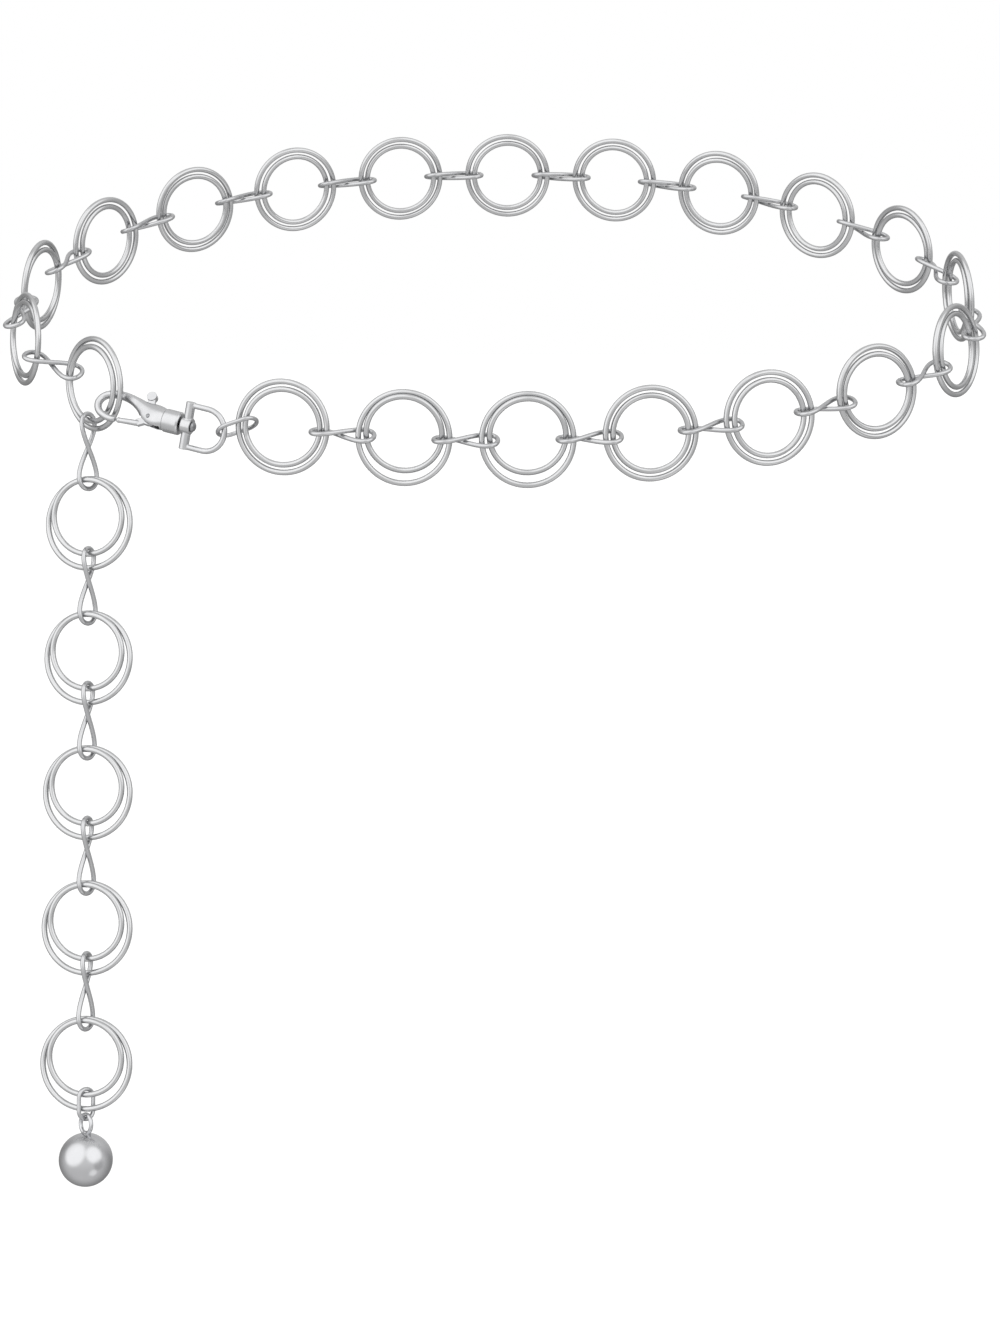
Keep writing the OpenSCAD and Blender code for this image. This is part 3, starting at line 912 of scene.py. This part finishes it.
# %% [markdown]
# The ball is polished to a soft mirror, so its surface has to be a true sphere: it is turned, not
# remeshed. Its eye is a small wire ring that is soldered on top, with a fillet of solder.

# %% Ball
BALL_R = 8.5
EYE_R = 3
BALL_SINK = 0.3
eye_at = tail_reach_down + END_LINK["length"] - 2 * SMALL_LINK_WIRE - GAP + EYE_R
ball_at = eye_at + EYE_R + BALL_R - BALL_SINK

a = np.linspace(0, np.pi, 65)
sphere = turned_solid(
    [(-BALL_R, 0)] + [(-BALL_R * math.cos(t), BALL_R * math.sin(t)) for t in a[1:-1]] + [(BALL_R, 0)],
    96,
)
fillet = turned_solid(
    [(BALL_R - 0.6, 0), (BALL_R - 0.6, 1.9), (BALL_R - 0.25, 1.5), (BALL_R + 0.1, 0.95), (BALL_R + 0.5, 0.8)]
    + [(BALL_R + 0.5, 0)]
)
b = 2 * np.pi * np.arange(96) / 96
eye_path = np.stack([ball_at - eye_at + EYE_R * np.cos(b), EYE_R * np.sin(b), 0 * b], 1)
parts = [sphere, fillet, closed_wire(eye_path, SMALL_LINK_WIRE)]
points, faces = joined([(p, facing_out(p, f)) for p, f in parts])
end_across = end_frame[2] * math.cos(END_LINK_TURN) - end_frame[0] * math.sin(END_LINK_TURN)
hang_from = tail_centre(TAIL_PAIRS - 1) - end_frame[2] * tail_spread
axes = [-tail_down, -end_across, np.cross(-tail_down, -end_across)]
points = place(points, hang_from + tail_down * ball_at, axes)
ball = new_object("polished_ball", points, faces)
finish_piece(ball, ball_plate, "ball")

# %% [markdown]
# The chain hangs in the air as if worn, over a pale matt floor. The floor is wide, so that its edge
# fades into the pale room in every view.

# %% Floor
FLOOR_Z = -0.34
FLOOR_HALF = 8

corners = [(x * FLOOR_HALF, y * FLOOR_HALF, FLOOR_Z) for x, y in ((-1, -1), (1, -1), (1, 1), (-1, 1))]
floor_mesh = bpy.data.meshes.new("floor")
floor_mesh.from_pydata(corners, [], [[0, 1, 2, 3]])
floor = bpy.data.objects.new("floor", floor_mesh)
bpy.context.scene.collection.objects.link(floor)
paper = bpy.data.materials.new("matt_paper")
paper.use_nodes = True
paper_shader = paper.node_tree.nodes["Principled BSDF"]
paper_shader.inputs["Base Color"].default_value = linear("#F6F6F6")
paper_shader.inputs["Roughness"].default_value = 0.95
paper_shader.inputs["Specular IOR Level"].default_value = 0.1
floor_mesh.materials.append(paper)
floor.visible_glossy = False

# %% [markdown]
# Polished metal shows its room, so the room is drawn with care and the camera sees only plain white.
# Here the room is pale, darker below and behind, with two big soft boxes on either side of the
# camera, a faint one high at the back for the other views, a small one low on the right, and a dark
# card above that one. The ball shows them as two tall highlights over a grey band, and each wire
# has a light middle between grey edges.

# %% Room and soft boxes
ROOM_FRONT = 0.9
ROOM_BACK = 0.35
ROOM_BELOW = 0.85
ROOM_SEEN = 1.0
ROOM_ON_FLOOR = 1.2
# how far back and how low each change of the room starts and ends, along a direction of length 1
FRONT_TO_BACK = (-0.4, 0.9)
BELOW_TO_ABOVE = (-0.7, 0.1)
SOFT_BOXES = (
    # direction from the chain, edge of the box and of its soft rim in degrees, brightness
    ((-0.67, -0.52, 0.53), 35, 54, 0.6),
    ((0.65, -0.55, 0.53), 25, 41, 0.6),
    ((0.15, 0.78, 0.61), 20, 60, 0.35),
    ((0.5, -0.53, -0.68), 7, 18, 0.4),
    ((0.87, -0.45, -0.2), 14, 26, -0.24),
)

world = bpy.data.worlds.new("studio")
bpy.context.scene.world = world
world.use_nodes = True
room = world.node_tree
room.nodes.clear()
direction = add(room, "ShaderNodeTexCoord").outputs["Generated"]


def room_ramp(value, low, high, at_low, at_high):
    """A smooth step between two levels of light."""
    edges = {"Value": value, "From Min": low, "From Max": high, "To Min": at_low, "To Max": at_high}
    step = add(room, "ShaderNodeMapRange", {"interpolation_type": "SMOOTHSTEP"}, edges)
    return step.outputs["Result"]


def room_maths(operation, first, second):
    return add(room, "ShaderNodeMath", {"operation": operation}, {0: first, 1: second}).outputs[0]


parts_of = add(room, "ShaderNodeSeparateXYZ", inputs={"Vector": direction}).outputs
level = room_ramp(parts_of["Y"], *FRONT_TO_BACK, ROOM_FRONT, ROOM_BACK)
level = room_maths("MULTIPLY", level, room_ramp(parts_of["Z"], *BELOW_TO_ABOVE, ROOM_BELOW, 1))
for towards, edge, rim, brightness in SOFT_BOXES:
    facing = add(
        room,
        "ShaderNodeVectorMath",
        {"operation": "DOT_PRODUCT"},
        {0: direction, 1: unit(vec(*towards)).tolist()},
    )
    low, high = math.cos(math.radians(rim)), math.cos(math.radians(edge))
    level = room_maths("ADD", level, room_ramp(facing.outputs["Value"], low, high, 0, brightness))

ray = add(room, "ShaderNodeLightPath").outputs
for kind, plain_level in (("Is Diffuse Ray", ROOM_ON_FLOOR), ("Is Camera Ray", ROOM_SEEN)):
    choice = add(
        room,
        "ShaderNodeMix",
        {"data_type": "FLOAT"},
        {"Factor": ray[kind], "A": level, "B": plain_level},
    )
    level = choice.outputs["Result"]
glow = add(room, "ShaderNodeBackground", inputs={"Color": linear("#FFFFFF"), "Strength": level})
add(room, "ShaderNodeOutputWorld", inputs={"Surface": glow.outputs["Background"]})
print("soft boxes in the room:", len(SOFT_BOXES))

# %% [markdown]
# The camera looks down a little from the front, about a metre away, with a long lens that keeps the
# rings round.

# %% Camera
CAMERA_PITCH = 8
CAMERA_PLACE = (0.0015, -1.0371, 0.03195)
LENS_MM = 85

camera_data = bpy.data.cameras.new("camera")
camera_data.lens = LENS_MM
camera_data.sensor_width = 36
camera_data.clip_start = 0.05
camera_data.clip_end = 50
camera = bpy.data.objects.new("camera", camera_data)
bpy.context.scene.collection.objects.link(camera)
camera.location = CAMERA_PLACE
camera.rotation_euler = (math.radians(90 - CAMERA_PITCH), 0, 0)
bpy.context.scene.camera = camera
bpy.context.scene.view_settings.view_transform = "Standard"
